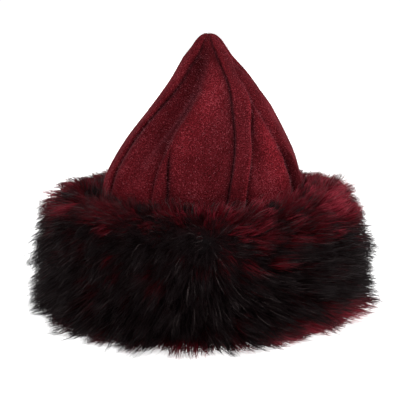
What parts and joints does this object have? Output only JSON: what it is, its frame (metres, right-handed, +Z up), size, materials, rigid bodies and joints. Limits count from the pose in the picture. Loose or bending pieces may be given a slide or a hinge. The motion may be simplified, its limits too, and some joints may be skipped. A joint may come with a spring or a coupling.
{
  "type": "fur toque",
  "caption": "Pointed felt hat with a soft folded crown, raised seam laps and darts, standing in a deep cuff of long-pile fur turned under at the rim; worn on the head.",
  "frame": {"origin": "on the floor under the middle of the fur cuff, where the hat rests on its turned-under fur", "axes": "+Z up to the crown's tip, -Y to the front of the hat, +X to the right as seen from the front"},
  "size_m": [0.306, 0.3042, 0.245],
  "materials": {
    "felt": "soft wool felt with a short nap",
    "fur": "long faux fur pile, black over dark red"
  },
  "bodies": {
    "root": {"gore_front": "felt", "gore_right": "felt", "gore_back": "felt", "gore_left": "felt", "fur_cuff": "fur"}
  },
  "joints": []
}
